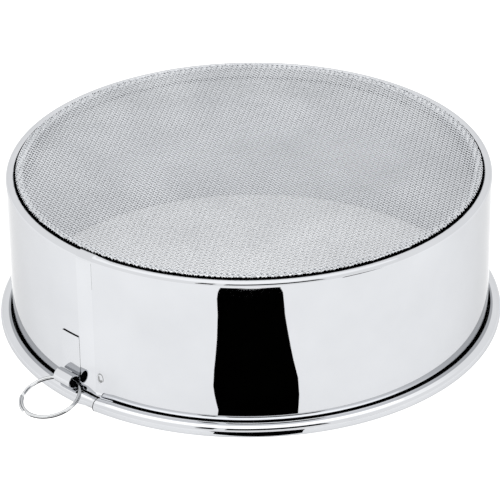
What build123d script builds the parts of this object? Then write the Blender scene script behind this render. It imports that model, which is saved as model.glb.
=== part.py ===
from build123d import *
import math
import os

# A drum sieve standing mesh upwards on its curled rim, all sizes in mm.
# Origin: centre of the circle that the rim stands on. +Z runs up the drum's axis
# towards the mesh, and -Y points at the hanger.

# --- driving dimensions ---
SHEET = 0.5            # stainless sheet of the shell, the hoop and the strap
DRUM_R = 100.0         # outside of the drum wall
LIP_TOP = 67.4         # top of the turned-in lip
LIP_BEND_R = 2.0       # outside radius of the lip's bend
LIP_TURN = 130.0       # how far the wall is turned in at the lip, degrees
CURL_R = 2.9           # outside radius of the rolled rim
CURL_END = 120.0       # where the rolled sheet ends, degrees above the outward direction
REST_FLAT = 0.04       # depth of the flat that the rim is worn to on its underside

LAP_START = 3.1        # the wall strip's overlap, degrees to the right of the hanger
LAP_END = 7.8
LAP_LIFT = SHEET       # how far the outer end of the strip stands proud
LAP_TURN = 55.0        # how far it follows the lip's bend, degrees

CLOTH_T = 0.84         # wire cloth, two wires thick where they cross
CLOTH_END = 25.0       # where the cloth is cut, degrees above the flange's outward direction
FIT = 0.05             # gap left between pieces that are pressed or welded together
HOOP_TOP = 67.7        # top of the hoop's flange, which the cloth is welded to
HOOP_NECK_R = 93.1     # outside of the hoop where it passes the lip
HOOP_LOW = 51.0        # lower edge of the hoop's skirt
FLANGE_BEND_R = 0.75   # upper radius of both bends of the flange
FLANGE_FLAT = 1.35     # flat width between them
FLANGE_END = 40.0      # where the flange's sheet ends, in the same way as the cloth
STEP_TOP = 65.6        # the hoop steps out from neck to skirt, under the lip
STEP_DROP = 8.0

EYE_R = 3.0            # outside radius of the eye rolled in the strap
EYE_W = 9.2
EYE_OUT = 3.22         # eye axis, outside the drum wall
EYE_Z = 9.5
EYE_WRAP = 322.0       # the sheet goes this far round the eye, degrees
LEAF_W = 10.6          # width of the strap's leaf, which is welded to the wall
LEAF_TOP = 29.0
LEAF_CORNER_R = 0.8

RING_R = 11.8          # centre line of the hanging ring
RING_WIRE = 1.5
RING_REACH = 10.85     # eye axis to the ring's centre, along the ring's plane
RING_SAG = 1.1         # the ring's plane lies this far under the eye's axis
RING_SIDE = 1.6        # the ring has slid this far along its eye
RING_DROOP = 13.4      # how far the ring's plane hangs below level, degrees
RING_LAP_FROM = 14.0   # the wire's ends overlap between these angles round the ring,
RING_LAP_TO = 58.0     # counted from its outermost point
RING_LAP_OUT = 0.6
RING_LAP_WIRE = 1.2

# --- worked out from the driving dimensions ---
wall_in = DRUM_R - SHEET
curl_c = (wall_in + CURL_R, CURL_R - REST_FLAT)
lip_c = (DRUM_R - LIP_BEND_R, LIP_TOP - LIP_BEND_R)
skirt_r = wall_in - FIT
flange_in = (HOOP_NECK_R - SHEET + FLANGE_BEND_R, HOOP_TOP - FLANGE_BEND_R)
flange_out = (flange_in[0] + FLANGE_FLAT, flange_in[1])
eye_y = -(DRUM_R + EYE_OUT)
droop = math.radians(RING_DROOP)
ring_y = eye_y - RING_REACH * math.cos(droop) - RING_SAG * -math.sin(droop)
ring_z = EYE_Z - RING_REACH * math.sin(droop) - RING_SAG * math.cos(droop)


def arc_point(centre, radius, degrees):
    """The point at an angle on a circle, in the plane of a profile."""
    angle = math.radians(degrees)
    return (centre[0] + radius * math.cos(angle), centre[1] + radius * math.sin(angle))


# The S from neck to skirt is two arcs of equal radius, each turning through step_turn.
step_out = skirt_r - HOOP_NECK_R
step_turn = 2 * math.degrees(math.atan2(step_out, STEP_DROP))
step_r = STEP_DROP / (2 * math.sin(math.radians(step_turn)))


def hoop_side(out):
    """The hoop's outside from its flange down, moved outwards by out."""
    upper_c = (HOOP_NECK_R + step_r, STEP_TOP)
    lower_c = (skirt_r - step_r, STEP_TOP - STEP_DROP)
    Line((HOOP_NECK_R + out, flange_in[1]), (HOOP_NECK_R + out, STEP_TOP))
    CenterArc(upper_c, step_r - out, 180, step_turn)
    CenterArc(lower_c, step_r + out, step_turn, -step_turn)
    Line((skirt_r + out, STEP_TOP - STEP_DROP), (skirt_r + out, HOOP_LOW))


os.makedirs("parts", exist_ok=True)

# --- shell: wall, turned-in lip and curled rim, one strip lapped beside the hanger ---
with BuildPart() as shell:
    with BuildSketch(Plane.XZ):
        with BuildLine():
            # outside of the lip and of the wall
            CenterArc(lip_c, LIP_BEND_R, LIP_TURN, -LIP_TURN)
            Line((DRUM_R, lip_c[1]), (DRUM_R, curl_c[1]))
            # hollow of the curl, then its cut edge, then its outside
            CenterArc(curl_c, CURL_R - SHEET, 180, 180 + CURL_END)
            Line(arc_point(curl_c, CURL_R - SHEET, CURL_END), arc_point(curl_c, CURL_R, CURL_END))
            CenterArc(curl_c, CURL_R, CURL_END, -(180 + CURL_END))
            # inside of the wall and of the lip
            Line((wall_in, curl_c[1]), (wall_in, lip_c[1]))
            CenterArc(lip_c, LIP_BEND_R - SHEET, 0, LIP_TURN)
            Line(arc_point(lip_c, LIP_BEND_R - SHEET, LIP_TURN), arc_point(lip_c, LIP_BEND_R, LIP_TURN))
        make_face()
    revolve(axis=Axis.Z)

    # outer end of the strip, lying over the other end
    lap_in = SHEET / 2
    lap_low = 2 * CURL_R
    with BuildSketch(Plane.XZ.rotated((0, 0, -90 + LAP_START))):
        with BuildLine():
            Line((DRUM_R - lap_in, lap_low), (DRUM_R + LAP_LIFT, lap_low))
            Line((DRUM_R + LAP_LIFT, lap_low), (DRUM_R + LAP_LIFT, lip_c[1]))
            CenterArc(lip_c, LIP_BEND_R + LAP_LIFT, 0, LAP_TURN)
            lap_edge = [arc_point(lip_c, r, LAP_TURN) for r in (LIP_BEND_R + LAP_LIFT, LIP_BEND_R - lap_in)]
            Line(*lap_edge)
            CenterArc(lip_c, LIP_BEND_R - lap_in, LAP_TURN, -LAP_TURN)
            Line((DRUM_R - lap_in, lip_c[1]), (DRUM_R - lap_in, lap_low))
        make_face()
    revolve(axis=Axis.Z, revolution_arc=LAP_END - LAP_START)

    # the narrow flat on the underside that the sieve stands on
    split(bisect_by=Plane.XY, keep=Keep.TOP)
shell.part.label = "shell"
export_step(shell.part, "parts/shell.step")

# --- mesh hoop: inner ring that carries the cloth on its flange, pressed into the shell ---
with BuildPart() as mesh_hoop:
    with BuildSketch(Plane.XZ):
        with BuildLine():
            # upper side of the flange, its cut edge, then its under side
            CenterArc(flange_in, FLANGE_BEND_R, 180, -90)
            Line((flange_in[0], HOOP_TOP), (flange_out[0], HOOP_TOP))
            CenterArc(flange_out, FLANGE_BEND_R, 90, FLANGE_END - 90)
            flange_edge = [arc_point(flange_out, FLANGE_BEND_R - t, FLANGE_END) for t in (0, SHEET)]
            Line(*flange_edge)
            CenterArc(flange_out, FLANGE_BEND_R - SHEET, FLANGE_END, 90 - FLANGE_END)
            Line((flange_out[0], HOOP_TOP - SHEET), (flange_in[0], HOOP_TOP - SHEET))
            CenterArc(flange_in, FLANGE_BEND_R - SHEET, 90, 90)
            # neck, step and skirt
            hoop_side(0)
            Line((skirt_r, HOOP_LOW), (skirt_r - SHEET, HOOP_LOW))
            hoop_side(-SHEET)
        make_face()
    revolve(axis=Axis.Z)
mesh_hoop.part.label = "mesh_hoop"
export_step(mesh_hoop.part, "parts/mesh_hoop.step")

# --- wire cloth: flat over the top, its edge bent down over the flange and cut ---
cloth_low_r = FLANGE_BEND_R + FIT
cloth_top_r = cloth_low_r + CLOTH_T
cloth_low = flange_out[1] + cloth_low_r
cloth_top = flange_out[1] + cloth_top_r
with BuildPart() as wire_cloth:
    with BuildSketch(Plane.XZ):
        with BuildLine():
            Line((0, cloth_top), (flange_out[0], cloth_top))
            CenterArc(flange_out, cloth_top_r, 90, CLOTH_END - 90)
            cloth_edge = [arc_point(flange_out, r, CLOTH_END) for r in (cloth_top_r, cloth_low_r)]
            Line(*cloth_edge)
            CenterArc(flange_out, cloth_low_r, CLOTH_END, 90 - CLOTH_END)
            Line((flange_out[0], cloth_low), (0, cloth_low))
            Line((0, cloth_low), (0, cloth_top))
        make_face()
    revolve(axis=Axis.Z)
wire_cloth.part.label = "wire_cloth"
export_step(wire_cloth.part, "parts/wire_cloth.step")

# --- hanger strap: a leaf curved to the wall, rolled into an eye at its foot ---
leaf_in = DRUM_R + FIT / 2
leaf_half = math.degrees(LEAF_W / 2 / DRUM_R)
with BuildPart() as hanger_strap:
    with BuildSketch(Plane.XZ.rotated((0, 0, -90 - leaf_half))):
        with Locations((leaf_in + SHEET / 2, (LEAF_TOP + EYE_Z) / 2)):
            Rectangle(SHEET, LEAF_TOP - EYE_Z)
    revolve(axis=Axis.Z, revolution_arc=2 * leaf_half)
    corners = hanger_strap.edges().filter_by(lambda edge: edge.length < 2 * SHEET)
    fillet(corners.group_by(Axis.Z)[-1], LEAF_CORNER_R)

    eye_c = (eye_y, EYE_Z)
    with BuildSketch(Plane.YZ):
        with BuildLine():
            CenterArc(eye_c, EYE_R, 0, -EYE_WRAP)
            Line(arc_point(eye_c, EYE_R, -EYE_WRAP), arc_point(eye_c, EYE_R - SHEET, -EYE_WRAP))
            CenterArc(eye_c, EYE_R - SHEET, -EYE_WRAP, EYE_WRAP)
            Line(arc_point(eye_c, EYE_R - SHEET, 0), arc_point(eye_c, EYE_R, 0))
        make_face()
    extrude(amount=EYE_W / 2, both=True)
hanger_strap.part.label = "hanger_strap"
export_step(hanger_strap.part, "parts/hanger_strap.step")

# --- hanging ring: wire bent round through the eye, its two ends lapped ---
ring_plane = Plane(
    origin=(RING_SIDE, ring_y, ring_z),
    x_dir=(0, -math.cos(droop), -math.sin(droop)),
    z_dir=(0, -math.sin(droop), math.cos(droop)),
)
ring_axis = Axis(ring_plane.origin, ring_plane.z_dir)


def ring_section(degrees):
    """The plane across the ring's wire, at an angle from its outermost point towards -X."""
    across = ring_plane.x_dir.rotate(Axis((0, 0, 0), ring_plane.z_dir), -degrees)
    return Plane(ring_plane.origin, x_dir=across, z_dir=across.cross(ring_plane.z_dir))


with BuildPart() as hanging_ring:
    with BuildSketch(ring_section(0)):
        with Locations((RING_R, 0)):
            Circle(RING_WIRE / 2)
    revolve(axis=ring_axis)

    # the outer of the two ends, flattened where it lies over the other
    with BuildSketch(ring_section(RING_LAP_TO)):
        with Locations((RING_R + RING_LAP_OUT, 0)):
            Circle(RING_LAP_WIRE / 2)
    revolve(axis=ring_axis, revolution_arc=RING_LAP_TO - RING_LAP_FROM)
hanging_ring.part.label = "hanging_ring"
export_step(hanging_ring.part, "parts/hanging_ring.step")
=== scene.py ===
import math

import bpy
import numpy as np
from mathutils import Matrix


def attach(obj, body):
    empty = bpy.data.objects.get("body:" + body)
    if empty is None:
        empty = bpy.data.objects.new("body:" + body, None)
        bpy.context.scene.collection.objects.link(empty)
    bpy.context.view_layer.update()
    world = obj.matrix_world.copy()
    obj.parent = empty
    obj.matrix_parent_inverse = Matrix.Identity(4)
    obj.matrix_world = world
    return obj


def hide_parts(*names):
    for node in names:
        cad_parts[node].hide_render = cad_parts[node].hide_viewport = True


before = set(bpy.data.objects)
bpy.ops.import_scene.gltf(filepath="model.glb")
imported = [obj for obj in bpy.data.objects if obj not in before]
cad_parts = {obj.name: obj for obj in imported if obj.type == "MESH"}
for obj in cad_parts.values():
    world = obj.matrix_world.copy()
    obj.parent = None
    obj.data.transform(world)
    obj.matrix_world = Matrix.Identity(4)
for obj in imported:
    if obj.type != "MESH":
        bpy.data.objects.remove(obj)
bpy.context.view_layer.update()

MM = 0.001

# --- sizes repeated from the CAD source, in mm and degrees ---
SHEET = 0.5
WALL_R = 99.75            # middle of the wall's sheet
LIP_C = (98.0, 65.4)      # radius and height of the lip's centre
LIP_R = 1.75
LIP_TURN = 130.0
CURL_R = 2.65
CURL_LOW = 0.25           # middle of the sheet at the rim's lowest point
CURL_TURN = 300.0
LAP_START = 3.1           # to the right of the hanger
LAP_END = 7.8
FLANGE_R = 0.5            # middle of the sheet in both bends of the hoop's flange
FLANGE_IN = (93.35, 66.95)
FLANGE_OUT = (94.7, 66.95)
FLANGE_END = 40.0
NECK_R = 92.85
STEP_TOP = 65.6
STEP_DROP = 8.0
STEP_OUT = 6.35
HOOP_LOW = 51.0
EYE_Y = -103.22
EYE_Z = 9.5
EYE_R = 2.75
EYE_WRAP = 322.0
EYE_W = 9.2
LEAF_R = 100.275
LEAF_W = 10.6
LEAF_TOP = 29.0
RING_R = 11.8
RING_CENTRE = (1.6, -113.52, 5.916)
RING_DROOP = 13.4
RING_WIRE_R = 0.75

# --- the woven cloth, in mm and degrees ---
PITCH = 1.53
WIRE_R = 0.21
CLOTH_TURN = 80.6         # plan angle of one set of wires
CLOTH_MID = 1.22          # middle of the weave from the flange's bend
CLOTH_END = 25.0          # where the cloth's edge ends round that bend
WIRE_SIDES = 6

# heading of the drum's side with a painted highlight, in degrees to the right of the hanger
FRONT = 45.6


def mesh_piece(name, points, faces, materials, body, slot, node, sharp=35.0, finish=()):
    """A piece from points in mm, smooth apart from edges sharper than the limit.

    finish lists (face, material), and a face that isn't in it takes the first material.
    """
    mesh = bpy.data.meshes.new(name)
    mesh.from_pydata((np.asarray(points) * MM).tolist(), [], faces)
    mesh.update()
    mesh.shade_smooth()
    mesh.set_sharp_from_angle(angle=math.radians(sharp))
    for material in materials:
        mesh.materials.append(material)
    for face, index in finish:
        mesh.polygons[face].material_index = index
    piece = bpy.data.objects.new(name, mesh)
    bpy.context.scene.collection.objects.link(piece)
    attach(piece, body)
    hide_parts(node)
    return piece


def smooth_step(x):
    """0 to 1 with soft ends, as x goes from 0 to 1."""
    x = min(1.0, max(0.0, x))
    return x * x * (3 - 2 * x)


# --- profiles: rows of (r, z, normal r, normal z) along the middle of a sheet ---
END_STEP = 0.15           # mm, the short step at each end of a straight run
END_SHARE = 0.25          # which is never more than this share of the run


def arc(centre, radius, start, end, count, side=1):
    """An arc whose normals point away from its centre, or to it when side is -1."""
    turn = np.radians(np.linspace(start, end, count))
    c, s = np.cos(turn), np.sin(turn)
    return np.stack([centre[0] + radius * c, centre[1] + radius * s, side * c, side * s], 1)


def straight(start, end, count, normal=(1.0, 0.0)):
    """A straight run, with a short step at both ends that keeps its bends out of it."""
    short = min(END_SHARE, END_STEP / math.dist(start, end))
    share = np.concatenate([[0], np.linspace(short, 1 - short, count - 2), [1]])[:, None]
    line = (1 - share) * np.array(start) + share * np.array(end)
    return np.hstack([line, np.tile(normal, (count, 1))])


def turned(profile, degrees):
    """A profile's points and normals in the plane at an angle to the right of the hanger."""
    turn = math.radians(degrees - 90)
    out = np.array([math.cos(turn), math.sin(turn), 0.0])
    up = np.array([0.0, 0.0, 1.0])
    at = profile[:, :1] * out + profile[:, 1:2] * up
    normal = profile[:, 2:3] * out + profile[:, 3:4] * up
    return at, normal


def round_the_drum(profile_at, steps):
    """Points and normals of a strip, from the profile that it has at each step."""
    rows = [turned(profile_at(s), s) for s in steps]
    return np.array([row[0] for row in rows]), np.array([row[1] for row in rows])


def thick_sheet(at, normal, thickness, finish_of, used=None, closed=False, flip=False):
    """Points, faces and (face, material) of a sheet with thickness, from its middle."""
    rows, cols = at.shape[:2]
    half = thickness / 2
    points = np.vstack([(at + normal * half).reshape(-1, 3), (at - normal * half).reshape(-1, 3)])
    back = rows * cols
    spans = rows if closed else rows - 1
    faces = []
    finish = []
    edges = {}            # edges with a face on one side only, which the last faces close
    for i in range(spans):
        for j in range(cols - 1):
            if used is not None and not used(i, j):
                continue
            k = (i + 1) % rows
            quad = (i * cols + j, k * cols + j, k * cols + j + 1, i * cols + j + 1)
            for side, face in ((1, quad), (-1, tuple(back + v for v in reversed(quad)))):
                finish.append((len(faces), finish_of(i, j, side)))
                faces.append(face)
            for a, b in zip(quad, quad[1:] + quad[:1]):
                if (b, a) in edges:
                    del edges[(b, a)]
                else:
                    edges[(a, b)] = True
    for a, b in edges:
        faces.append((b, a, back + a, back + b))
    if flip:
        faces = [tuple(reversed(face)) for face in faces]
    return points, faces, finish


def tube_faces(rings, sides):
    """Faces of a tube whose points come ring by ring, with one face over each end."""
    faces = []
    for i in range(rings - 1):
        for k in range(sides):
            k2 = (k + 1) % sides
            faces.append((i * sides + k, (i + 1) * sides + k, (i + 1) * sides + k2, i * sides + k2))
    faces.append(tuple(range(sides)))
    faces.append(tuple(reversed(range((rings - 1) * sides, rings * sides))))
    return faces


# --- materials ---
CLOUD_SCALE = 28.0        # size of the cloudy tone, and how fine its detail is
CLOUD_DETAIL = 3.0
GRAIN_DETAIL = 4.0
NOISE_RANGE = (0.3, 0.7)  # what the noise runs between in practice
RELIEF = 0.00002          # metres, height of the polishing lines


def new_material(name):
    """A material with its node tree and its shader."""
    material = bpy.data.materials.new(name)
    material.use_nodes = True
    tree = material.node_tree
    return material, tree, tree.nodes["Principled BSDF"]


def stretched_noise(tree, scale, stretch, detail):
    """Noise in the object's own coordinates, drawn out along some axes."""
    coords = tree.nodes.new("ShaderNodeTexCoord")
    mapping = tree.nodes.new("ShaderNodeMapping")
    mapping.inputs["Scale"].default_value = stretch
    noise = tree.nodes.new("ShaderNodeTexNoise")
    noise.inputs["Scale"].default_value = scale
    noise.inputs["Detail"].default_value = detail
    tree.links.new(coords.outputs["Object"], mapping.inputs["Vector"])
    tree.links.new(mapping.outputs["Vector"], noise.inputs["Vector"])
    return noise.outputs["Fac"]


def ranged(tree, value, to_low, to_high, from_low, from_high):
    """A value brought from one range to another."""
    node = tree.nodes.new("ShaderNodeMapRange")
    node.inputs["From Min"].default_value = from_low
    node.inputs["From Max"].default_value = from_high
    node.inputs["To Min"].default_value = to_low
    node.inputs["To Max"].default_value = to_high
    tree.links.new(value, node.inputs["Value"])
    return node.outputs["Result"]


def steel(name, dark, light, rough, lines, bump, edge):
    """Stainless steel: cloudy tone, polishing lines along the sheet, uneven gloss."""
    material, tree, shader = new_material(name)
    shader.inputs["Metallic"].default_value = 1.0
    shader.inputs["Specular Tint"].default_value = (edge, edge, edge, 1)
    cloud = stretched_noise(tree, CLOUD_SCALE, (1, 1, 1), CLOUD_DETAIL)
    ramp = tree.nodes.new("ShaderNodeValToRGB")
    for stop, position, colour in zip(ramp.color_ramp.elements, NOISE_RANGE, (dark, light)):
        stop.position = position
        stop.color = (*colour, 1)
    tree.links.new(cloud, ramp.inputs["Fac"])
    tree.links.new(ramp.outputs["Color"], shader.inputs["Base Color"])
    grain = stretched_noise(tree, 1.0, lines, GRAIN_DETAIL)
    tree.links.new(ranged(tree, grain, *rough, *NOISE_RANGE), shader.inputs["Roughness"])
    relief = tree.nodes.new("ShaderNodeBump")
    relief.inputs["Strength"].default_value = bump
    relief.inputs["Distance"].default_value = RELIEF
    tree.links.new(grain, relief.inputs["Height"])
    tree.links.new(relief.outputs["Normal"], shader.inputs["Normal"])
    return material


def paint_highlight_towards(material, direction, start, end, colour, rough):
    """Painted highlight: brighten a finish to a mirror on the side of the object that a direction
    points to.
    """
    tree = material.node_tree
    shader = tree.nodes["Principled BSDF"]
    coords = tree.nodes.new("ShaderNodeTexCoord")
    towards = tree.nodes.new("ShaderNodeVectorMath")
    towards.operation = "DOT_PRODUCT"
    towards.inputs[1].default_value = direction
    tree.links.new(coords.outputs["Object"], towards.inputs[0])
    share = ranged(tree, towards.outputs["Value"], 0, 1, start, end)
    for socket, bright, kind in (("Base Color", (*colour, 1), "RGBA"), ("Roughness", rough, "FLOAT")):
        mix = tree.nodes.new("ShaderNodeMix")
        mix.data_type = kind
        factor, plain_side, bright_side = [i for i in mix.inputs if i.enabled]
        tree.links.new(share, factor)
        tree.links.new(shader.inputs[socket].links[0].from_socket, plain_side)
        bright_side.default_value = bright
        result = [o for o in mix.outputs if o.enabled][0]
        tree.links.new(result, shader.inputs[socket])


# dark and light tone, least and most roughness, polishing lines, their relief, tint at grazing angles
SHEET_TONES = ((0.525, 0.535, 0.555), (0.565, 0.575, 0.595))
SHEET_GLOSS = ((0.012, 0.03), (40, 40, 4000), 0.03, 0.74)
polished = steel("polished_steel", *SHEET_TONES, *SHEET_GLOSS)
# painted shade: a darker, duller steel in the groove behind the curl and at the step's upper corner
grey_shade_steel = steel(
    "grey_shade_steel", (0.34, 0.36, 0.36), (0.42, 0.44, 0.44), (0.5, 0.65), (40, 40, 400), 0.1, 0.6,
)
lap_steel = steel("lap_steel", (0.545, 0.555, 0.575), (0.585, 0.595, 0.615), *SHEET_GLOSS)
# steel of the wall's foot and the curl's top, which gets a painted highlight towards the front
foot_highlight_steel = steel("foot_highlight_steel", *SHEET_TONES, *SHEET_GLOSS)
# painted shade on the weld mark's slopes, as if lit from one side
weld_painted_shade_steel = steel(
    "weld_painted_shade_steel", (0.16, 0.165, 0.165), (0.26, 0.265, 0.265), (0.4, 0.6), (900, 900, 900), 0.2, 0.4,
)
# a rougher steel on top of the flange, with a tone lighter than steel that paints in light under the
# cloth
flange_painted_light_steel = steel(
    "flange_painted_light_steel", (0.84, 0.85, 0.86), (0.92, 0.93, 0.94), (0.35, 0.5), (60, 60, 60), 0.1, 0.9,
)
hoop_steel = steel(
    "hoop_steel", (0.52, 0.53, 0.54), (0.60, 0.61, 0.62), (0.10, 0.20), (40, 40, 3000), 0.15, 0.6,
)
wire_steel = steel(
    "wire_steel", (0.58, 0.595, 0.62), (0.68, 0.695, 0.72), (0.12, 0.25), (900, 900, 900), 0.1, 0.6,
)
strap_steel = steel(
    "strap_steel", (0.52, 0.53, 0.55), (0.58, 0.59, 0.61), (0.05, 0.12), (3000, 60, 60), 0.1, 0.7,
)
# painted shade: near-black steel for gaps, hollows and edges that lie in shade
painted_shade = steel(
    "painted_shade_steel", (0.012, 0.012, 0.013), (0.03, 0.03, 0.03), (0.35, 0.6), (60, 60, 600), 0.3, 0.1,
)
ring_steel = steel(
    "ring_steel", (0.52, 0.53, 0.54), (0.62, 0.63, 0.64), (0.04, 0.10), (700, 700, 700), 0.1, 0.0,
)
# painted dark reflection along one side of the ring's wire
ring_painted_dark = steel(
    "ring_painted_dark_steel", (0.02, 0.02, 0.022), (0.05, 0.05, 0.052), (0.1, 0.2), (700, 700, 700), 0.1, 0.0,
)

# painted highlight: the foot of the wall and the curl's top grow brighter and glossier towards the
# front
HIGHLIGHT_START = 0.06       # metres from the drum's axis towards its front
HIGHLIGHT_FULL = 0.095
HIGHLIGHT_TONE = (0.76, 0.77, 0.79)
HIGHLIGHT_ROUGH = 0.03
front = math.radians(FRONT)
paint_highlight_towards(
    foot_highlight_steel, (math.sin(front), -math.cos(front), 0),
    HIGHLIGHT_START, HIGHLIGHT_FULL, HIGHLIGHT_TONE, HIGHLIGHT_ROUGH,
)

# --- shell: one strip, its outer end lying over its inner end beside the hanger ---
JOGGLE_START = 7.6        # degrees, where the outer end steps down on to the wall
JOGGLE_SHORT = 0.8        # degrees, the short run over which a share of the step is gone
JOGGLE_LONG = 5.0         # degrees, the long run over which the rest is gone
JOGGLE_SHARE = 0.3
CURL_OPENS = 8.6          # degrees, where the outer end's curl begins
CURL_INSIDE = 12.0        # degrees, how far the inner end's curl goes inside it
TUCK_START = 2.5          # degrees, where it narrows to do so
TUCK_END = 7.5
TUCK_R = 1.85
FLAP_LOW = 5.8            # mm, the outer end's lower edge, short of its curl
BAND_TOP = 7.1            # mm, the foot of the wall, as high as the curl shows in it

# points of the profile: round the lip, down the wall, from the flap's edge down, round the curl
LIP_POINTS = 22
WALL_POINTS = 8
LOW_POINTS = 6
CURL_POINTS = 56

# the first face of each stretch, counted along the profile from the lip's edge
WALL_FACE = LIP_POINTS - 1
BAND_FACE = WALL_FACE + WALL_POINTS - 1
FLAP_FACE = BAND_FACE + 1             # under the outer end's lower edge
GROOVE_FACE = FLAP_FACE + 3           # of the groove behind the curl, grey with painted shade
CURL_FACE = FLAP_FACE + LOW_POINTS - 1
DARK_FACE = CURL_FACE + 5             # of the curl's inside, black with painted shade, and the first one past it
DARK_END = CURL_FACE + 34
TOP_FACE = CURL_FACE + 41             # of the curl's top, which the wall's foot mirrors

# the shell's finishes, in the order of its materials
POLISHED, BLACK_SHADE, GREY_SHADE, LAP, FOOT_HIGHLIGHT = range(5)
SHELL_MATERIALS = (polished, painted_shade, grey_shade_steel, lap_steel, foot_highlight_steel)
CUT_TURN = 0.15           # degrees of the outer curl's cut end that are black with painted shade
CORNER_TURN = 0.08        # degrees to each side of the step's upper corner that are grey with painted shade

# steps along the strip, in degrees: fine over the lap, coarse round the wall, fine in the tuck
FINE_END = 13.0
FINE_STEP = 0.1
WALL_STEP = 0.85
TUCK_STEP = 0.2
shell_steps = np.concatenate([
    np.arange(LAP_START, FINE_END, FINE_STEP),
    np.arange(FINE_END, 360.0, WALL_STEP),
    np.arange(360.0, 360.0 + CURL_INSIDE, TUCK_STEP),
])


def lap_lift(s):
    """How far the strip lies outside the wall at s degrees along it, from the outer end."""
    step = s - JOGGLE_START
    fall = JOGGLE_SHARE * smooth_step(step / JOGGLE_SHORT)
    fall += (1 - JOGGLE_SHARE) * smooth_step(step / JOGGLE_LONG)
    return SHEET * (1 - fall)


def strip_profile(s):
    """The shell's profile at s degrees along the strip, from the outer end."""
    lift = lap_lift(s)
    tuck = smooth_step((s - 360 - TUCK_START) / (TUCK_END - TUCK_START))
    curl_r = CURL_R - lift / 2 + (TUCK_R - CURL_R) * tuck
    low = CURL_LOW + SHEET * tuck
    wall = WALL_R + lift
    curl_c = (wall + curl_r, low + curl_r)
    return np.vstack([
        arc(LIP_C, LIP_R + lift, LIP_TURN, 0, LIP_POINTS),
        straight((wall, LIP_C[1]), (wall, BAND_TOP), WALL_POINTS)[1:],
        straight((wall, BAND_TOP), (wall, FLAP_LOW), 2)[1:],
        straight((wall, FLAP_LOW), (wall, curl_c[1]), LOW_POINTS)[1:],
        arc(curl_c, curl_r, 180, 180 + CURL_TURN, CURL_POINTS, side=-1)[1:],
    ])


def shell_used(i, j):
    """Whether the strip has a face: its curl begins after its wall and ends after it."""
    if j >= FLAP_FACE:
        return shell_steps[i] >= CURL_OPENS
    return shell_steps[i] < 360 + LAP_END


def shell_finish(i, j, side):
    """A face's finish, painted shade and a painted highlight among them, where side 1 is the outside
    of the wall and the inside of the curl.
    """
    s = shell_steps[i]
    past_lap = s >= JOGGLE_START
    # painted black shade on the outer curl's cut end
    if j >= CURL_FACE and s < CURL_OPENS + CUT_TURN:
        return BLACK_SHADE
    # painted highlight on the curl's top, past the lap
    if j >= TOP_FACE and past_lap:
        return FOOT_HIGHLIGHT
    if side == -1 or j < WALL_FACE:
        return POLISHED
    # painted black shade inside the curl
    if DARK_FACE <= j < DARK_END:
        return BLACK_SHADE
    # painted grey shade in the groove behind the curl
    if GROOVE_FACE <= j < DARK_FACE:
        return GREY_SHADE
    # painted highlight on the foot of the wall, past the lap
    if BAND_FACE <= j < GROOVE_FACE and past_lap:
        return FOOT_HIGHLIGHT
    # painted grey shade at the step's upper corner
    if j <= WALL_FACE + 1 and abs(s - JOGGLE_START) < CORNER_TURN:
        return GREY_SHADE
    if j < FLAP_FACE and not past_lap:
        return LAP
    return POLISHED


points, faces, finish = thick_sheet(
    *round_the_drum(strip_profile, shell_steps), SHEET, shell_finish,
    used=shell_used, flip=True,
)
mesh_piece(
    "shell_strip", points, faces, SHELL_MATERIALS, "sieve", "polished_sheet", "shell", finish=finish,
)

# --- spot weld beside the lap: a shallow oval mark with a raised edge ---
WELD_AT = (9.0, 14.0)     # degrees, and height in mm
WELD_HALF = (1.6, 2.6)    # half its width and half its height
WELD_ROWS = (             # share of that half size, and mm out from the wall
    (0.02, 0.02), (0.3, 0.02), (0.48, 0.05), (0.72, 0.12),
    (0.92, 0.05), (1.0, -0.02), (1.0, -0.1), (0.02, -0.1),
)
WELD_SIDES = 32
SHADED_SIDES = range(12, 29)          # painted shade on the mark's inner slope, the others on its outer one
INNER_SLOPE = (1, 2)                  # rows of faces, counted from the middle
OUTER_SLOPE = (3,)


def weld_mark():
    """Points, faces and (face, material) of the weld's mark on the wall."""
    points = []
    for share, height in WELD_ROWS:
        for k in range(WELD_SIDES):
            a = 2 * math.pi * k / WELD_SIDES
            s = WELD_AT[0] + math.degrees(share * WELD_HALF[0] * math.cos(a) / WALL_R)
            r = WALL_R + SHEET / 2 + lap_lift(s) + height
            turn = math.radians(s - 90)
            z = WELD_AT[1] + share * WELD_HALF[1] * math.sin(a)
            points.append((r * math.cos(turn), r * math.sin(turn), z))
    finish = []
    for k in range(WELD_SIDES):
        # painted shade: one slope of the mark, chosen by its side
        for i in INNER_SLOPE if k in SHADED_SIDES else OUTER_SLOPE:
            finish.append((i * WELD_SIDES + k, 1))
    return points, tube_faces(len(WELD_ROWS), WELD_SIDES), finish


points, faces, finish = weld_mark()
mesh_piece(
    "lap_weld", points, faces, (polished, weld_painted_shade_steel), "sieve", "polished_sheet", "shell",
    sharp=60.0, finish=finish,
)

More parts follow.
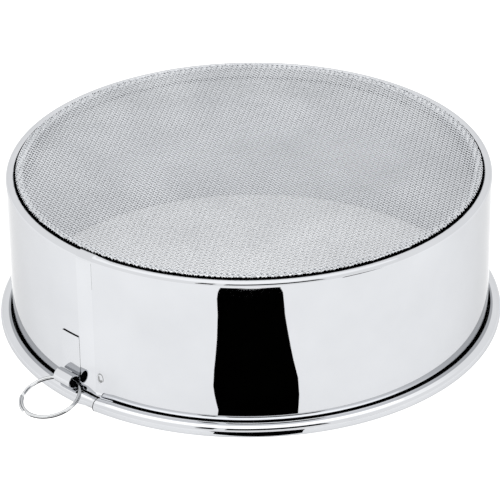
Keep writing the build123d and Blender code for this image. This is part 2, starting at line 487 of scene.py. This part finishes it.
# --- mesh hoop: flange, neck, step and skirt ---
FLANGE_POINTS = (6, 9)    # points round the flange's outer bend and its inner bend
NECK_POINTS = 4
STEP_POINTS = 12          # round each half of the step
SKIRT_POINTS = 5
HOOP_STEP = 0.75          # degrees
INWARD = (-1.0, 0.0)
step_turn = 2 * math.degrees(math.atan2(STEP_OUT, STEP_DROP))
step_r = STEP_DROP / (2 * math.sin(math.radians(step_turn)))
skirt_r = NECK_R + STEP_OUT
skirt_top = STEP_TOP - STEP_DROP
hoop_profile = np.vstack([
    arc(FLANGE_OUT, FLANGE_R, FLANGE_END, 90, FLANGE_POINTS[0]),
    arc(FLANGE_IN, FLANGE_R, 90, 180, FLANGE_POINTS[1]),
    straight((NECK_R, FLANGE_IN[1]), (NECK_R, STEP_TOP), NECK_POINTS, INWARD)[1:],
    arc((NECK_R + step_r, STEP_TOP), step_r, 180, 180 + step_turn, STEP_POINTS)[1:],
    arc((skirt_r - step_r, skirt_top), step_r, step_turn, 0, STEP_POINTS, side=-1)[1:],
    straight((skirt_r, skirt_top), (skirt_r, HOOP_LOW), SKIRT_POINTS, INWARD)[1:],
])


def hoop_finish(i, j, side):
    """Painted shade on the side towards the shell; a rougher steel on top of the flange, under the
    cloth, whose lighter tone paints in light.
    """
    if side == -1:
        return 1
    return 2 if j < sum(FLANGE_POINTS) - 1 else 0


points, faces, finish = thick_sheet(
    *round_the_drum(lambda s: hoop_profile, np.arange(0, 360, HOOP_STEP)), SHEET, hoop_finish,
    closed=True,
)
mesh_piece(
    "hoop_strip", points, faces, (hoop_steel, painted_shade, flange_painted_light_steel),
    "sieve", "hoop_sheet", "mesh_hoop", finish=finish,
)

# --- wire cloth: plain weave, flat over the top, its edge bent down over the flange ---
TOP_POINTS = 4
BEND_POINTS = 16
SHORTEST_END = 0.1        # mm, a shorter stretch past a wire's last point is left off
TINY = 1e-9               # keeps the cloth's centre from a division by zero
cloth_z = FLANGE_OUT[1] + CLOTH_MID
cloth_profile = np.vstack([
    straight((0.0, cloth_z), (FLANGE_OUT[0], cloth_z), TOP_POINTS, (0.0, 1.0)),
    arc(FLANGE_OUT, CLOTH_MID, 90, CLOTH_END, BEND_POINTS)[1:],
])
cloth_spans = np.hypot(*np.diff(cloth_profile[:, :2], axis=0).T)
cloth_run = np.concatenate([[0], np.cumsum(cloth_spans)])
cloth_reach = cloth_run[-1]


def on_cloth(x, y, rise):
    """Points rise above the middle of the cloth, and its normals there, from flat x, y."""
    reach = np.hypot(x, y)
    r, z, nr, nz = [np.interp(reach, cloth_run, cloth_profile[:, i]) for i in range(4)]
    ex = x / np.maximum(reach, TINY)
    ey = y / np.maximum(reach, TINY)
    normal = np.stack([nr * ex, nr * ey, nz], 1)
    return np.stack([r * ex, r * ey, z], 1) + normal * rise[:, None], normal


def wire_line(offset, number, parity):
    """Where a wire's points lie along it, and how far it is crimped up or down at each."""
    # points lie half a pitch apart, and every other one is a crossing
    half = math.sqrt(cloth_reach ** 2 - offset ** 2)
    first = math.ceil(-half / PITCH * 2)
    last = math.floor(half / PITCH * 2)
    index = np.arange(first, last + 1)
    t = index * PITCH / 2
    other = (index - 1) // 2
    sign = np.where((other + number + parity) % 2 == 0, 1.0, -1.0)
    crimp = np.where(index % 2 == 1, sign * WIRE_R, 0.0)
    if half - t[-1] > SHORTEST_END:
        t = np.concatenate([[-half], t, [half]])
        crimp = np.concatenate([[0.0], crimp, [0.0]])
    return t, crimp


def wire(offset, number, turn, parity):
    """One wire's points and faces, at an offset from the middle, along a plan angle."""
    t, crimp = wire_line(offset, number, parity)
    c, s = math.cos(turn), math.sin(turn)
    centre, normal = on_cloth(t * c - offset * s, t * s + offset * c, crimp)
    tangent = np.gradient(centre, axis=0)
    tangent /= np.linalg.norm(tangent, axis=1)[:, None]
    side = np.cross(tangent, normal)
    side /= np.linalg.norm(side, axis=1)[:, None]
    up = np.cross(side, tangent)
    lines = []
    for k in range(WIRE_SIDES):
        a = 2 * math.pi * (k + 0.5) / WIRE_SIDES
        lines.append(centre + WIRE_R * (math.cos(a) * side + math.sin(a) * up))
    return np.stack(lines, 1).reshape(-1, 3), tube_faces(len(t), WIRE_SIDES)


def wire_bundle(numbers, degrees, parity):
    """The points and faces of many wires side by side."""
    all_points = []
    all_faces = []
    base = 0
    for number in numbers:
        points, faces = wire((number + 0.5) * PITCH, number, math.radians(degrees), parity)
        all_points.append(points)
        all_faces += [tuple(base + v for v in face) for face in faces]
        base += len(points)
    return np.vstack(all_points), all_faces


wires_each_side = int(cloth_reach / PITCH + 0.5)
for set_name, degrees, parity in (("warp", CLOTH_TURN, 0), ("weft", CLOTH_TURN + 90, 1)):
    for half_name, numbers in (("a", range(-wires_each_side, 0)), ("b", range(0, wires_each_side))):
        mesh_piece(
            f"{set_name}_wires_{half_name}", *wire_bundle(numbers, degrees, parity),
            (wire_steel,), "sieve", "woven_wire", "wire_cloth", sharp=75.0,
        )

# --- hanger strap: leaf on the wall, rolled into an eye at its foot ---
LEAF_CORNER = 0.8
EYE_JOIN = 7.0            # mm, the height over which the leaf goes from curved to flat
ACROSS_POINTS = 25
CORNER_ROWS = 7
LEAF_ROWS = 14
EYE_ROWS = 60
EDGE_DEPTH = 0.01         # mm, how near the leaf's top its upper edge, dark with painted shade, lies
across = np.linspace(-1, 1, ACROSS_POINTS)
corner_turns = np.radians(np.linspace(0, 90, CORNER_ROWS))
leaf_heights = np.concatenate([
    LEAF_TOP - LEAF_CORNER * (1 - np.cos(corner_turns)),
    np.linspace(LEAF_TOP - LEAF_CORNER, EYE_Z, LEAF_ROWS)[1:],
])
eye_turns = np.linspace(0, EYE_WRAP, EYE_ROWS)[1:]


def leaf_row(z):
    """Points and normals across the leaf at a height."""
    corner = max(0.0, z - (LEAF_TOP - LEAF_CORNER))
    half = LEAF_W / 2 - LEAF_CORNER + math.sqrt(max(0.0, LEAF_CORNER ** 2 - corner ** 2))
    flat = smooth_step((EYE_Z + EYE_JOIN - z) / EYE_JOIN)
    half += (EYE_W / 2 - LEAF_W / 2) * flat
    x = across * half
    curved = -np.sqrt(LEAF_R ** 2 - x ** 2)
    y = curved * (1 - flat) + (EYE_Y + EYE_R) * flat
    normal = np.stack([x / LEAF_R * (1 - flat), np.full_like(x, -1.0), np.zeros_like(x)], 1)
    return np.stack([x, y, np.full_like(x, z)], 1), normal / np.linalg.norm(normal, axis=1)[:, None]


def eye_row(degrees):
    """Points and normals across the eye, some way round from the leaf."""
    a = math.radians(-degrees)
    x = across * EYE_W / 2
    y = EYE_Y + EYE_R * math.cos(a)
    z = EYE_Z + EYE_R * math.sin(a)
    normal = np.tile([0.0, -math.cos(a), -math.sin(a)], (len(x), 1))
    return np.stack([x, np.full_like(x, y), np.full_like(x, z)], 1), normal


def strap_finish(i, j, side):
    """Painted shade inside the eye."""
    return 1 if side == 1 and i >= len(leaf_heights) else 0


strap_rows = [leaf_row(z) for z in leaf_heights] + [eye_row(turn) for turn in eye_turns]
points, faces, finish = thick_sheet(
    np.array([row[0] for row in strap_rows]), np.array([row[1] for row in strap_rows]),
    SHEET, strap_finish,
)
# painted shade along the leaf's top edge, where it meets the wall
for index, face in enumerate(faces):
    if all(points[v][2] > LEAF_TOP - EDGE_DEPTH for v in face):
        finish.append((index, 1))
mesh_piece(
    "strap_strip", points, faces, (strap_steel, painted_shade), "sieve", "strap_sheet", "hanger_strap",
    finish=finish,
)

# --- hanging ring: one wire bent round, its flattened ends lapped ---
RING_FROM = 58.0          # degrees that the first end reaches back past the ring's outermost point
RING_TO = 14.0            # degrees that the last end stops short of it
RING_STEPS = 240
RING_SIDES = 20
RING_FLAT = 0.62          # how thin the ends are, as a share of the wire
FLAT_FADE = 10.0          # degrees over which an end goes from round to flat
FLAT_EARLY = 8.0          # degrees by which the last end does so before the lap
START_IN = 0.34           # mm that the first end lies inside the ring's circle
END_OUT = 0.62            # mm that the last end lies outside it
TIP_SIZE = 0.25           # size of both tips, as a share of the wire
TIP_TURN = 3.5            # degrees over which a whole wire would grow from nothing
PAINTED_DARK_WAY = np.array([0.619, -0.606, -0.5])   # the way that the wire's painted dark reflection faces
PAINTED_DARK_SPREAD = 0.7         # cosine of the angle that the painted dark reflection spreads to from there
droop = math.radians(RING_DROOP)
ring_x = np.array([0.0, -math.cos(droop), -math.sin(droop)])
ring_z = np.array([0.0, -math.sin(droop), math.cos(droop)])
ring_y = np.cross(ring_z, ring_x)


def from_ring_centre(degrees):
    """The direction from the ring's centre to its wire, some way round."""
    t = math.radians(degrees)
    return ring_x * math.cos(t) + ring_y * math.sin(t)


def ring_section(a):
    """The points round the ring's wire at an angle round the ring."""
    start_share = smooth_step((FLAT_FADE - RING_TO - a) / FLAT_FADE)
    end_share = smooth_step((a - (360 - RING_FROM) + FLAT_EARLY) / FLAT_FADE)
    thin = 1 - (1 - RING_FLAT) * max(start_share, end_share)
    r = RING_R - START_IN * start_share + END_OUT * end_share
    tip = min(1.0, TIP_SIZE + min(a + RING_FROM, 360 - RING_TO - a) / TIP_TURN)
    out = from_ring_centre(a)
    centre = np.array(RING_CENTRE) + out * r
    section = []
    for b in 2 * math.pi * np.arange(RING_SIDES) / RING_SIDES:
        section.append(centre + RING_WIRE_R * tip * (thin * math.cos(b) * out + math.sin(b) * ring_z))
    return section


def ring_wire():
    """Points, faces and (face, material) of the ring."""
    turns = np.linspace(-RING_FROM, 360 - RING_TO, RING_STEPS)
    points = np.vstack([ring_section(a) for a in turns])
    finish = []
    for i in range(RING_STEPS - 1):
        out = from_ring_centre((turns[i] + turns[i + 1]) / 2)
        for k in range(RING_SIDES):
            b = 2 * math.pi * (k + 0.5) / RING_SIDES
            facing = math.cos(b) * out + math.sin(b) * ring_z
            # faces that take the painted dark reflection
            if facing @ PAINTED_DARK_WAY > PAINTED_DARK_SPREAD:
                finish.append((i * RING_SIDES + k, 1))
    return points, tube_faces(RING_STEPS, RING_SIDES), finish


points, faces, finish = ring_wire()
ring = mesh_piece(
    "ring_wire_piece", points, faces, (ring_steel, ring_painted_dark), "ring", "ring_wire", "hanging_ring",
    sharp=60.0, finish=finish,
)
ring.visible_glossy = False           # the wall doesn't mirror it

# --- stage, in metres: pale floor, black cards for the steel to mirror, white surroundings ---
FLOOR = 6.0
FLOOR_Z = -0.00003
SHADED_Z = -0.00002
CARD_Z = 0.0001


def plain(name, colour, roughness, glow=0.0):
    """A matt material with no gloss, which may glow white."""
    material, tree, shader = new_material(name)
    shader.inputs["Emission Color"].default_value = (1, 1, 1, 1)
    shader.inputs["Emission Strength"].default_value = glow
    shader.inputs["Base Color"].default_value = (*colour, 1)
    shader.inputs["Roughness"].default_value = roughness
    shader.inputs["Specular IOR Level"].default_value = 0.0
    return material


def stage_sheet(name, corners, material):
    """A flat piece of the stage from its corners."""
    mesh = bpy.data.meshes.new(name)
    mesh.from_pydata(corners, [], [tuple(range(len(corners)))])
    mesh.materials.append(material)
    sheet = bpy.data.objects.new(name, mesh)
    bpy.context.scene.collection.objects.link(sheet)
    return sheet


def black_card(name, corners):
    """A card that only shows where it is mirrored."""
    card = stage_sheet(name, corners, card_black)
    card.visible_camera = False
    card.visible_diffuse = False
    card.visible_shadow = False


def floor_card(name, heading, near, far, near_half, far_half):
    """A black card on the floor, from near to far, that widens outwards."""
    a = math.radians(heading)
    out = (math.sin(a), -math.cos(a))
    along = (math.cos(a), math.sin(a))
    black_card(name, [
        (out[0] * d + along[0] * w, out[1] * d + along[1] * w, CARD_Z)
        for d, w in ((near, -near_half), (near, near_half), (far, far_half), (far, -far_half))
    ])


def far_card(name, left, right, low, high, distance=3.0):
    """A black card seen from the sieve between two headings and two elevations, in degrees."""
    corners = []
    for heading, rise in ((left, low), (right, low), (right, high), (left, high)):
        a = math.radians(heading)
        e = math.radians(rise)
        flat = distance * math.cos(e)
        corners.append((flat * math.sin(a), -flat * math.cos(a), distance * math.sin(e)))
    black_card(name, corners)


floor_white = plain("floor_white", (0.35, 0.35, 0.35), 0.9, 0.98)
floor_shaded = plain("floor_shaded", (0.9, 0.9, 0.9), 0.9, 0.22)
card_black = plain("card_black", (0.0, 0.0, 0.0), 1.0)

floor_corners = ((-FLOOR, -FLOOR), (FLOOR, -FLOOR), (FLOOR, FLOOR), (-FLOOR, FLOOR))
stage_sheet("floor", [(x, y, FLOOR_Z) for x, y in floor_corners], floor_white)
rim_r = (WALL_R + CURL_R) * MM
rim_turns = np.radians(np.arange(0, 360, 3))
under_drum = [(rim_r * math.cos(a), rim_r * math.sin(a), SHADED_Z) for a in rim_turns]
stage_sheet("floor_under_drum", under_drum, floor_shaded)

# outline of the nearest card, in mm: to the right of the drum's front, and back from it
CARD_OUTLINE = (
    (-16, -106), (-17.7, -114.8), (-23.2, -125.9), (-25.7, -131.6), (-28.7, -143.6),
    (-33.1, -169), (-37.3, -188.4), (-41.2, -200.5), (-41.4, -206.7), (-39.0, -211.5),
    (-34, -214.3), (33, -214.3), (38.5, -211), (41, -205.8), (40, -198), (38.2, -187),
    (36.5, -167), (33.6, -141), (32.7, -134.7), (28.7, -123), (23.6, -112), (20, -104),
)
c, s = math.cos(front), math.sin(front)
black_card("card", [((x * c - y * s) * MM, (x * s + y * c) * MM, CARD_Z) for x, y in CARD_OUTLINE])
far_card("card_over_camera", FRONT - 12, FRONT + 34, 24, 46)
far_card("card_beside_camera", FRONT - 25, FRONT - 17, 24, 46)
floor_card("card_behind", FRONT + 180, 0.112, 0.9, 0.02, 0.12)
floor_card("card_right_side", 90, 0.37, 2.2, 0.06, 0.16)

# one large soft light over the stage, on top of the even light of the surroundings
SOFTBOX = 3.0
SOFTBOX_Z = 2.5
SOFTBOX_GLOW = 0.3
SURROUNDINGS_GLOW = 1.28
lamp_data = bpy.data.lights.new("soft_light", "AREA")
lamp_data.size = SOFTBOX
lamp_data.energy = SOFTBOX_GLOW * math.pi * SOFTBOX ** 2
lamp = bpy.data.objects.new("soft_light", lamp_data)
lamp.location = (0, 0, SOFTBOX_Z)
bpy.context.scene.collection.objects.link(lamp)

world = bpy.data.worlds.new("surroundings")
bpy.context.scene.world = world
world.use_nodes = True
world.node_tree.nodes["Background"].inputs["Color"].default_value = (1, 1, 1, 1)
world.node_tree.nodes["Background"].inputs["Strength"].default_value = SURROUNDINGS_GLOW

# --- camera, in metres and degrees ---
CAM_AT = (0.7426, -0.7272, 0.5981)
CAM_HEADING = 45.6
CAM_PITCH = 28.79
CAM_ROLL = -0.747
CAM_LENS = 204.1
CAM_SENSOR = 36.0
CAM_CLIP = 0.05
cam_data = bpy.data.cameras.new("camera")
cam_data.lens = CAM_LENS
cam_data.sensor_width = CAM_SENSOR
cam_data.clip_start = CAM_CLIP
cam = bpy.data.objects.new("camera", cam_data)
bpy.context.scene.collection.objects.link(cam)
cam.matrix_world = (
    Matrix.Translation(CAM_AT)
    @ Matrix.Rotation(math.radians(CAM_HEADING), 4, "Z")
    @ Matrix.Rotation(math.radians(90 - CAM_PITCH), 4, "X")
    @ Matrix.Rotation(math.radians(CAM_ROLL), 4, "Z")
)
bpy.context.scene.camera = cam
bpy.context.scene.view_settings.view_transform = "Standard"
bpy.context.scene.cycles.denoising_prefilter = "NONE"     # keeps the weave sharp
